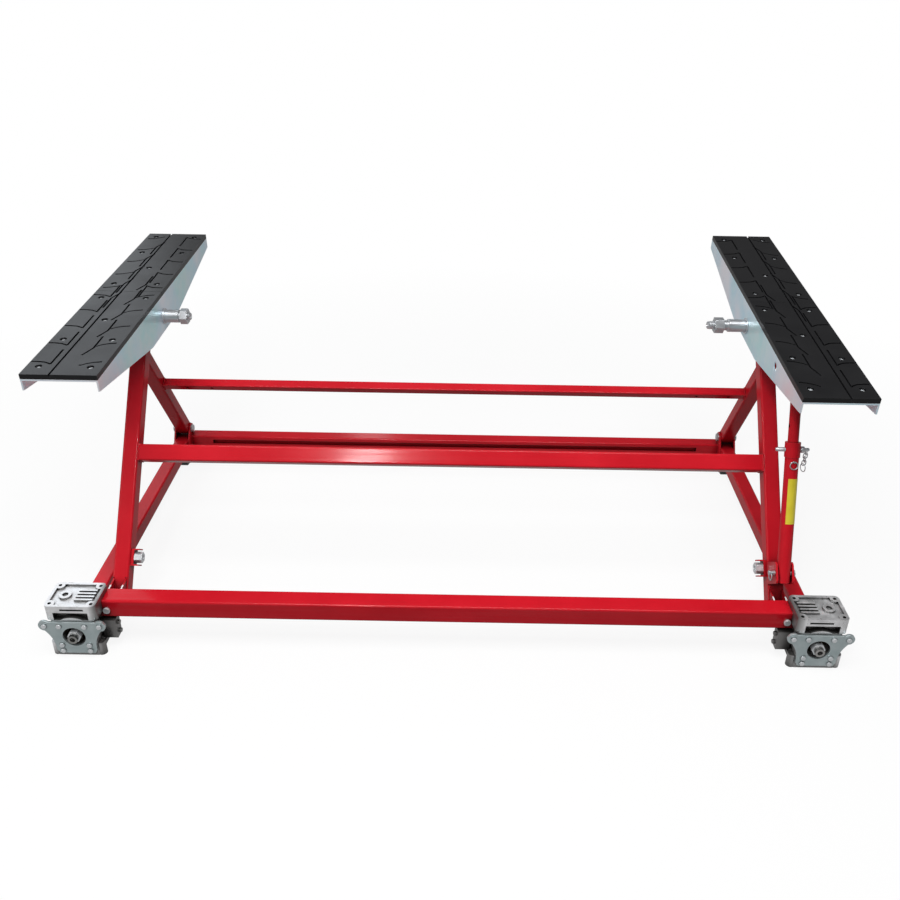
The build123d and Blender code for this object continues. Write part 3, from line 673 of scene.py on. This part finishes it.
# The finish of each CAD node: that of its slot, unless the node has its own
SLOT_FINISH = {
    "red_paint": red,
    "cast_alloy": cast_alloy(),
    "zinc_plate": zinc_sheet(),
    "bright_steel": steel,
    "dark_steel": oiled_steel(),
    "bronze": bronze(),
    "tread_rubber": rubber,
    "black_plastic": black_moulding(),
}
NODE_FINISH = {"hinge_forks": white_edged_red}
for node in ("front_beam", "mid_bar", "upper_bar", "rear_tube"):
    NODE_FINISH[node] = red_tube
for node in ("plate_screws", "beam_screws", "leg_nuts", "shaft_nut_left", "shaft_nut_right"):
    NODE_FINISH[node] = fastener
for node in ("front_plate_left", "front_plate_right", "rear_plate_left", "rear_plate_right"):
    NODE_FINISH[node] = plate_zinc


def finish_of(node):
    return NODE_FINISH.get(node, SLOT_FINISH[node_slot[node]])


for node, piece in nodes.items():
    piece.data.materials.clear()
    piece.data.materials.append(finish_of(node))

# Copies of CAD pieces with eased edges, so that corners catch the light
EASED_ON_BOTH_SIDES = {
    "gearbox": 0.0012,
    "front_plate": 0.0006,
    "rear_plate": 0.0006,
    "pad_tray": 0.0007,
    "pivot_nut": 0.0010,
    "shaft_nut": 0.0008,
}
EASED = {name + "_" + side: width for name, width in EASED_ON_BOTH_SIDES.items() for side in SIDES}
EASED.update(
    plate_screws=0.0012,
    beam_screws=0.0014,
    leg_nuts=0.0010,
    strut_bolt=0.0010,
    bearing_caps=0.0006,
)
for node, width in EASED.items():
    piece = merged_copy(node)
    bevel_edges(piece, width)
    weigh_normals(piece)
    dress(piece, node + "_eased", node_body[node], finish_of(node), node)

# Tread pads: the rubber with fine sipes cut across its shoulders, and the screws that hold it
RUBBER_TOP = 0.053
RUBBER_JOINT = 0.008
TREAD_EDGE = 0.0005
TREAD_PITCH = 0.080
FIRST_SIPE = -0.344
SIPES_IN_ROW = 5
SIPE_WIDTH = 0.0046
SIPE_DEPTH = 0.0050
SIPE_OVERCUT = 0.001
LEFT_SIPE = ((-0.0665, 0.0100), (-0.0560, 0.0098), (-0.0430, 0.0080), (-0.0330, 0.0025), (-0.0295, 0.0))
RIGHT_SIPE = ((0.0255, -0.0020), (0.0340, 0.0040), (0.0450, 0.0095), (0.0610, 0.0130))
SCREW_ROWS = (-0.353, -0.236, -0.028, 0.052, 0.250, 0.362)
SCREW_SPREAD = 0.0475
CENTRE_SCREWS = (-0.142, 0.150)
SCREW_PROFILE = (
    (0.0039, 0.0352),
    (0.0039, 0.0432),
    (0.0058, 0.0433),
    (0.0060, 0.0462),
    (0.0057, 0.0480),
    (0.0047, 0.0495),
    (0.0032, 0.0503),
    (0.0022, 0.0505),
    (0.0020, 0.0485),
)


def sipe_paths(side):
    """Every sipe of a pad: rows along one length of rubber, turned half round for the other."""
    for turn in (1, -1):
        sign = -SIDES[side] * turn
        for row in range(SIPES_IN_ROW):
            start = FIRST_SIPE + TREAD_PITCH * row
            for path in (LEFT_SIPE, RIGHT_SIPE):
                points = [(sign * x, start + y) for x, y in path]
                if turn < 0:
                    points = [(x, 2 * RUBBER_JOINT - y) for x, y in points]
                yield sorted(points)


def slit(points):
    """A thin wall along points on the pad, each further in x than the last, for cutting one sipe."""
    start_x, start_y = points[0]
    clear_selection()
    bpy.ops.mesh.primitive_plane_add(size=SIPE_WIDTH, location=(start_x, start_y, RUBBER_TOP - SIPE_DEPTH))
    wall = bpy.context.object
    bpy.ops.object.transform_apply(location=True)
    for vertex in wall.data.vertices:
        vertex.select = vertex.co.x > start_x
    for edge in wall.data.edges:
        edge.select = all(wall.data.vertices[index].select for index in edge.vertices)
    for face in wall.data.polygons:
        face.select = False
    bpy.ops.object.mode_set(mode="EDIT")
    bpy.ops.mesh.select_mode(type="EDGE")
    here = (start_x + SIPE_WIDTH / 2, start_y)
    for point in points[1:]:
        step = (point[0] - here[0], point[1] - here[1], 0)
        bpy.ops.mesh.extrude_edges_move(TRANSFORM_OT_translate={"value": step})
        here = point
    bpy.ops.mesh.select_mode(type="VERT")
    bpy.ops.mesh.select_all(action="SELECT")
    rise = (0, 0, SIPE_DEPTH + SIPE_OVERCUT)
    bpy.ops.mesh.extrude_region_move(TRANSFORM_OT_translate={"value": rise})
    face_outwards()
    return wall


def tread_pad(side):
    node = "pad_rubber_" + side
    pad = merged_copy(node)
    cutter = join([slit(path) for path in sipe_paths(side)], "sipe_cutter")
    place(cutter, pad_matrix(side))
    cut_away(pad, cutter)
    bevel_edges(pad, TREAD_EDGE, angle=50)
    weigh_normals(pad)
    dress(pad, "tread_" + side, node_body[node], rubber, node)


def screw_heads(side):
    """Domed screws with a round socket, down in the holes of the rubber."""
    node = "pad_screws_" + side
    first = lathe(SCREW_PROFILE, steps=20)
    spots = [(sign * SCREW_SPREAD, y) for y in SCREW_ROWS for sign in (-1, 1)]
    spots += [(0, y) for y in CENTRE_SCREWS]
    screws = [copy_of(first, Matrix.Translation((x, y, 0))) for x, y in spots]
    bpy.data.objects.remove(first)
    whole = join(screws, "pad_screw_heads_" + side)
    place(whole, pad_matrix(side))
    smooth(whole, angle=40)
    dress(whole, "pad_screw_heads_" + side, node_body[node], fastener, node)


# Pivot shafts with a thread on their inner end, by distance from the middle of the lift
STUD_HEAD_GAP = 0.0004
STUD_HEAD_RADIUS = 0.018
STUD_RADIUS = 0.014
STUD_SHOULDER = 0.5970
NECK_RADIUS = 0.011
NECK_END = {"left": 0.5946, "right": 0.5880}
THREAD_CREST = 0.0090
THREAD_ROOT = 0.0079
THREAD_PITCH = 0.0022
STUD_TIP = {"left": 0.5730, "right": 0.5530}


def pivot_stud(side):
    """Flat head outside the pad, shaft, neck, thread as a row of rings, and a centre hole in the tip."""
    node = "pivot_shaft_" + side
    head = abs(PAD_PIVOT[side].x) + PAD_HALF_WIDTH + STUD_HEAD_GAP
    neck_end = NECK_END[side]
    tip = STUD_TIP[side]
    profile = [
        (0.0165, head + 0.005),
        (STUD_HEAD_RADIUS, head + 0.0038),
        (STUD_HEAD_RADIUS, head),
        (STUD_RADIUS, head),
        (STUD_RADIUS, STUD_SHOULDER + 0.0012),
        (0.0128, STUD_SHOULDER),
        (NECK_RADIUS, STUD_SHOULDER - 0.0001),
        (NECK_RADIUS, neck_end),
        (0.0088, neck_end - 0.0001),
    ]
    turn_start = neck_end - 0.0002
    while turn_start - THREAD_PITCH > tip + 0.002:
        profile += [
            (THREAD_CREST, turn_start - 0.3 * THREAD_PITCH),
            (THREAD_CREST, turn_start - 0.5 * THREAD_PITCH),
            (THREAD_ROOT, turn_start - 0.9 * THREAD_PITCH),
            (THREAD_ROOT, turn_start - THREAD_PITCH),
        ]
        turn_start -= THREAD_PITCH
    profile += [(0.0086, tip + 0.0018), (0.0072, tip), (0.0034, tip), (0.0030, tip + 0.0015)]
    shaft = lathe(profile, steps=40)
    place(shaft, frame_matrix(APEX, Y_AXIS, Vector((SIDES[side], 0, 0))))
    smooth(shaft, angle=40)
    dress(shaft, "pivot_stud_" + side, node_body[node], steel, node)


# Locking strut: bare label, chain and lock pin
STRUT_RADIUS = 0.0134
LABEL_MIDDLE = 0.1500
LABEL_LENGTH = 0.0915
LABEL_LIFT = 0.00012
LABEL_THICKNESS = 0.00025
LABEL_TURN = radians(14)
LABEL_HALF_WRAP = radians(52)
LOCK_AT = 0.253
EYE_AT = 0.028
EYE_RADIUS = 0.0024
DRILL_LENGTH = 0.012
PIN_NOSE = -0.0338
PIN_PROFILE = (
    (0.0012, PIN_NOSE),
    (0.0030, PIN_NOSE + 0.0006),
    (0.0042, PIN_NOSE + 0.0028),
    (0.0042, 0.0158),
    (0.0060, 0.0160),
    (0.0065, 0.0168),
    (0.0065, 0.0222),
    (0.0058, 0.0230),
    (0.0034, 0.0232),
    (0.0034, 0.0316),
    (0.0022, 0.0330),
)
LINK_COUNT = 4
LINK_PITCH = 0.0082
FIRST_LINK_DROP = 0.0056
END_RING_DROP = 0.0413
END_RING_FACING = Vector((1, 0.3, 0))
lock_spot = STRUT_FOOT + STRUT_DIR * LOCK_AT
eye_x = STRUT_FOOT.x + EYE_AT


def strut_label():
    """A bare yellow label wrapped on the side of the strut that faces forward."""
    clear_selection()
    bpy.ops.mesh.primitive_cylinder_add(
        vertices=72,
        radius=STRUT_RADIUS + LABEL_LIFT,
        depth=LABEL_LENGTH,
        end_fill_type="NOTHING",
        location=(0, 0, LABEL_MIDDLE),
    )
    label = bpy.context.object
    bpy.ops.object.transform_apply(location=True)
    facing = Vector((sin(LABEL_TURN), -cos(LABEL_TURN)))
    bpy.ops.object.mode_set(mode="EDIT")
    bpy.ops.mesh.select_mode(type="VERT")
    bpy.ops.mesh.select_all(action="DESELECT")
    bpy.ops.object.mode_set(mode="OBJECT")
    for vertex in label.data.vertices:
        vertex.select = vertex.co.xy.normalized().dot(facing) < cos(LABEL_HALF_WRAP)
    bpy.ops.object.mode_set(mode="EDIT")
    bpy.ops.mesh.delete(type="VERT")
    bpy.ops.object.mode_set(mode="OBJECT")
    apply_modifier(label, "SOLIDIFY", thickness=LABEL_THICKNESS, offset=1.0)
    place(label, frame_matrix(STRUT_FOOT, X_AXIS, STRUT_DIR))
    smooth(label, angle=40)
    dress(label, "strut_label", "strut", yellow)


def oval_link(ring, wire, stretch):
    """A wire ring pulled long along x."""
    clear_selection()
    bpy.ops.mesh.primitive_torus_add(
        major_radius=ring, minor_radius=wire, major_segments=28, minor_segments=10
    )
    chain_link = bpy.context.object
    for vertex in chain_link.data.vertices:
        if abs(vertex.co.x) > 1e-6:
            vertex.co.x += stretch if vertex.co.x > 0 else -stretch
    return chain_link


def lock_chain():
    """Oval links below the eye of the pin, each a quarter turn from the last, and an end ring."""
    first = oval_link(ring=0.0040, wire=0.0010, stretch=0.0020)
    links = []
    for step in range(LINK_COUNT):
        spot = Vector((eye_x, lock_spot.y, lock_spot.z - FIRST_LINK_DROP - LINK_PITCH * step))
        cross_axis = Y_AXIS if step % 2 else X_AXIS
        links.append(copy_of(first, frame_matrix(spot, Z_AXIS, cross_axis)))
    bpy.data.objects.remove(first)
    end_ring = oval_link(ring=0.0078, wire=0.0009, stretch=0.0004)
    end_spot = Vector((eye_x, lock_spot.y, lock_spot.z - END_RING_DROP))
    place(end_ring, frame_matrix(end_spot, Z_AXIS, END_RING_FACING))
    whole = join(links + [end_ring], "lock_chain_links")
    smooth(whole, angle=60)
    dress(whole, "lock_chain_links", "lock", steel, "lock_chain")


def lock_pin():
    """Round-nosed pin with a shouldered head and a drilled eye for the chain."""
    pin = lathe(PIN_PROFILE, steps=28)
    clear_selection()
    bpy.ops.mesh.primitive_cylinder_add(
        vertices=20, radius=EYE_RADIUS, depth=DRILL_LENGTH, location=(0, 0, EYE_AT)
    )
    drill = bpy.context.object
    bpy.ops.object.transform_apply(location=True)
    to_eye = Matrix.Translation((0, 0, EYE_AT))
    from_eye = Matrix.Translation((0, 0, -EYE_AT))
    drill.data.transform(to_eye @ Matrix.Rotation(pi / 2, 4, "X") @ from_eye)
    cut_away(pin, drill)
    place(pin, frame_matrix(lock_spot, Y_AXIS, X_AXIS))
    smooth(pin, angle=40)
    dress(pin, "lock_pin_turned", "lock", steel, "lock_pin")


# Cross bolts of the front legs, with a low round head on the outer side
CROSS_BOLT_AT = 0.047
LEG_OUTER = 0.6935
BOLT_END = 0.6395
BOLT_PROFILE = (
    (0.0034, BOLT_END),
    (0.0046, BOLT_END + 0.0012),
    (0.0050, BOLT_END + 0.0014),
    (0.0050, LEG_OUTER),
    (0.0080, LEG_OUTER + 0.0001),
    (0.0078, LEG_OUTER + 0.0012),
    (0.0064, LEG_OUTER + 0.0024),
    (0.0038, LEG_OUTER + 0.0032),
    (0.0012, LEG_OUTER + 0.0034),
)


def leg_bolts():
    spot = HINGE + FRONT_DIR * CROSS_BOLT_AT
    bolts = []
    for sign in SIDES.values():
        bolt = lathe(BOLT_PROFILE, steps=28)
        place(bolt, frame_matrix(spot, Y_AXIS, Vector((sign, 0, 0))))
        bolts.append(bolt)
    whole = join(bolts, "leg_bolts_turned")
    smooth(whole, angle=40)
    dress(whole, "leg_bolts_turned", "front_frame", steel, "leg_bolts")


# Weld beads where the cross bars meet the legs
BEAD_RADIUS = 0.0021
BEAD_SINK = 0.4 * BEAD_RADIUS
BEAD_STEPS = 160
BEAD_SQUARENESS = 0.88
RIPPLE_STEPS = 4
RIPPLE_LOW = 0.82
RING_WIRE = 0.25
BAR_END_REACH = 0.0005


def weld_bead(node, end, long_axis):
    """A rippled bead round one end of a square bar, painted over with the frame."""
    other_axis = long_axis.cross(X_AXIS)
    corners = nodes[node].data.vertices
    spots = [corner.co for corner in corners if abs(corner.co.x - end) < BAR_END_REACH]
    reach = [sorted(axis.dot(spot) for spot in spots) for axis in (long_axis, other_axis)]
    middle = [(values[0] + values[-1]) / 2 for values in reach]
    half = [(values[-1] - values[0]) / 2 for values in reach]
    clear_selection()
    bpy.ops.mesh.primitive_torus_add(
        major_radius=1.0, minor_radius=RING_WIRE, major_segments=BEAD_STEPS, minor_segments=10
    )
    bead = bpy.context.object
    inward = -BEAD_SINK if end > 0 else BEAD_SINK
    for vertex in bead.data.vertices:
        turn = Vector((vertex.co.x, vertex.co.y))
        out = (turn.length - 1.0) / RING_WIRE
        turn.normalize()
        swell = max(abs(turn.x), abs(turn.y)) ** BEAD_SQUARENESS
        ring = Vector((turn.x / swell * half[0], turn.y / swell * half[1]))
        step = round(BEAD_STEPS * (turn.angle_signed(Vector((1, 0)), 0.0) / (2 * pi)))
        size = BEAD_RADIUS * (1.0 if step % RIPPLE_STEPS < RIPPLE_STEPS / 2 else RIPPLE_LOW)
        place_on = ring + turn * out * size
        across = long_axis * (middle[0] + place_on.x) + other_axis * (middle[1] + place_on.y)
        vertex.co = across + Vector((end + inward + vertex.co.z / RING_WIRE * size, 0, 0))
    bpy.ops.object.mode_set(mode="EDIT")
    face_outwards()
    return bead


def bar_welds(node, long_axis):
    low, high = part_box(node)
    beads = [weld_bead(node, end, long_axis) for end in (low[0], high[0])]
    whole = join(beads, node + "_welds")
    smooth(whole, angle=60)
    dress(whole, node + "_welds", node_body[node], red)


leg_bolts()
bar_welds("mid_bar", FRONT_DIR)
bar_welds("upper_bar", REAR_DIR)
for side in SIDES:
    tread_pad(side)
    screw_heads(side)
    pivot_stud(side)
strut_label()
lock_chain()
lock_pin()

# Floor and world: how bright they are to the camera, to other rays and in reflections
FLOOR_SIZE = 40
FLOOR_DROP = 0.0005
FLOOR_GLOW = 0.89
FLOOR_FADE_START = 0.9
FLOOR_FADE_END = 2.0
FLOOR_SEEN = rgb(0.90, 0.90, 0.90)
FLOOR_UNSEEN = rgb(0.17, 0.17, 0.17)
MIRRORED_FLOOR = 0.40
MIRRORED_SKY = 0.04
SOFT_LEFT = 0.32
SOFT_RIGHT = 0.12
SOFT_START = -0.7
SOFT_END = 0.5
WHITE = rgb(1.0, 1.0, 1.0)


def white_share(tree, path, to_camera, mirrored):
    """How much plain white a ray meets: to_camera, plus a set share for mirrored and transmitted rays."""
    share = to_camera
    for ray in ("Is Glossy Ray", "Is Transmission Ray"):
        added = math_node(tree, "MULTIPLY_ADD")
        added.inputs[1].default_value = mirrored
        link(tree, path.outputs[ray], added.inputs[0])
        link(tree, share, added.inputs[2])
        share = added.outputs["Value"]
    return share


def build_floor():
    """White to the camera, darker to other rays, with the object's shadow kept near it."""
    clear_selection()
    bpy.ops.mesh.primitive_plane_add(size=FLOOR_SIZE, location=(0, 0, -FLOOR_DROP))
    floor = bpy.context.object
    floor.name = "studio_floor"
    finish = Finish("studio_floor", Roughness=0.9, Specular_IOR_Level=0.0)
    tree = finish.tree
    path = finish.node("ShaderNodeLightPath")
    seen = path.outputs["Is Camera Ray"]
    finish.colour(finish.mix(seen, FLOOR_UNSEEN, FLOOR_SEEN))
    where = finish.node("ShaderNodeTexCoord")
    reach = finish.node("ShaderNodeVectorMath")
    reach.operation = "LENGTH"
    link(tree, where.outputs["Object"], reach.inputs[0])
    fade = finish.spread(reach.outputs["Value"], FLOOR_GLOW, 1.0, FLOOR_FADE_START, FLOOR_FADE_END)
    share = white_share(tree, path, finish.both(seen, fade), MIRRORED_FLOOR)
    glow = finish.node("ShaderNodeEmission")
    mix = finish.node("ShaderNodeMixShader")
    link(tree, share, mix.inputs["Fac"])
    link(tree, finish.shader.outputs["BSDF"], mix.inputs[1])
    link(tree, glow.outputs["Emission"], mix.inputs[2])
    link(tree, mix.outputs["Shader"], tree.nodes["Material Output"].inputs["Surface"])
    floor.data.materials.append(finish.material)


def build_world():
    """Soft light, stronger from the left; white to the camera and partly so in reflections."""
    world = bpy.data.worlds.new("studio")
    bpy.context.scene.world = world
    world.use_nodes = True
    tree = world.node_tree
    soft = tree.nodes["Background"]
    fill(soft, Color=WHITE)
    where = tree.nodes.new("ShaderNodeTexCoord")
    parts = tree.nodes.new("ShaderNodeSeparateXYZ")
    link(tree, where.outputs["Generated"], parts.inputs[0])
    strength = map_range(tree, parts.outputs["X"], SOFT_LEFT, SOFT_RIGHT, SOFT_START, SOFT_END)
    link(tree, strength, soft.inputs["Strength"])
    white = tree.nodes.new("ShaderNodeBackground")
    fill(white, Color=WHITE, Strength=1.0)
    path = tree.nodes.new("ShaderNodeLightPath")
    share = white_share(tree, path, path.outputs["Is Camera Ray"], MIRRORED_SKY)
    mix = tree.nodes.new("ShaderNodeMixShader")
    link(tree, share, mix.inputs["Fac"])
    link(tree, soft.outputs["Background"], mix.inputs[1])
    link(tree, white.outputs["Background"], mix.inputs[2])
    link(tree, mix.outputs["Shader"], tree.nodes["World Output"].inputs["Surface"])


def softbox(name, location, target, size, watts, colour=(1.0, 1.0, 1.0)):
    clear_selection()
    bpy.ops.object.light_add(type="AREA", location=location)
    lamp = bpy.context.object
    lamp.name = name
    lamp.data.shape = "RECTANGLE"
    lamp.data.size = size[0]
    lamp.data.size_y = size[1]
    lamp.data.energy = watts
    lamp.data.color = colour
    aim = Vector(target) - Vector(location)
    lamp.rotation_euler = aim.to_track_quat("-Z", "Y").to_euler()


build_floor()
build_world()
softbox("overhead", location=(0.0, -0.95, 2.8), target=(0.0, -0.1, 0.2), size=(2.4, 1.4), watts=66)
softbox("front_left", location=(-2.4, -2.0, 1.7), target=(-0.2, 0, 0.3), size=(1.2, 1.2), watts=10)
softbox("front_strip", location=(-0.55, -2.5, 2.83), target=(-0.16, -0.11, 0.3), size=(0.22, 0.50), watts=22)
softbox("back_strip", location=(-0.67, 4.0, 2.0), target=(0, 0.3, 0.1), size=(0.24, 1.1), watts=4)
softbox(
    "back_left",
    location=(-2.5, 3.0, 2.1),
    target=(-0.7, 0, 0.5),
    size=(1.6, 2.6),
    watts=19,
    colour=(0.88, 0.94, 1.0),
)

# Camera of the photo, with its focal length and shift in pixels
CAMERA_SPOT = (0.03693, BEAM_BACK - 1.4597, 1.29123)
PITCH = radians(29.05)
YAW = radians(-0.17)
ROLL = radians(0.9)
PHOTO_WIDTH = 900
FOCAL_PIXELS = 918.83
SHIFT_PIXELS = (-16.0, -16.9)
SENSOR_WIDTH = 36


def build_camera():
    clear_selection()
    bpy.ops.object.camera_add()
    camera = bpy.context.object
    camera.name = "photo_camera"
    forward = Vector((sin(YAW) * cos(PITCH), cos(YAW) * cos(PITCH), -sin(PITCH)))
    level = Vector((cos(YAW), -sin(YAW), 0))
    upward = level.cross(forward)
    right = level * cos(ROLL) + upward * sin(ROLL)
    top = upward * cos(ROLL) - level * sin(ROLL)
    turn = Matrix((right, top, -forward)).transposed().to_4x4()
    camera.matrix_world = Matrix.Translation(CAMERA_SPOT) @ turn
    camera.data.sensor_width = SENSOR_WIDTH
    camera.data.lens = FOCAL_PIXELS / PHOTO_WIDTH * SENSOR_WIDTH
    camera.data.shift_x = SHIFT_PIXELS[0] / PHOTO_WIDTH
    camera.data.shift_y = SHIFT_PIXELS[1] / PHOTO_WIDTH
    bpy.context.scene.camera = camera


build_camera()
bpy.context.scene.view_settings.view_transform = "Standard"
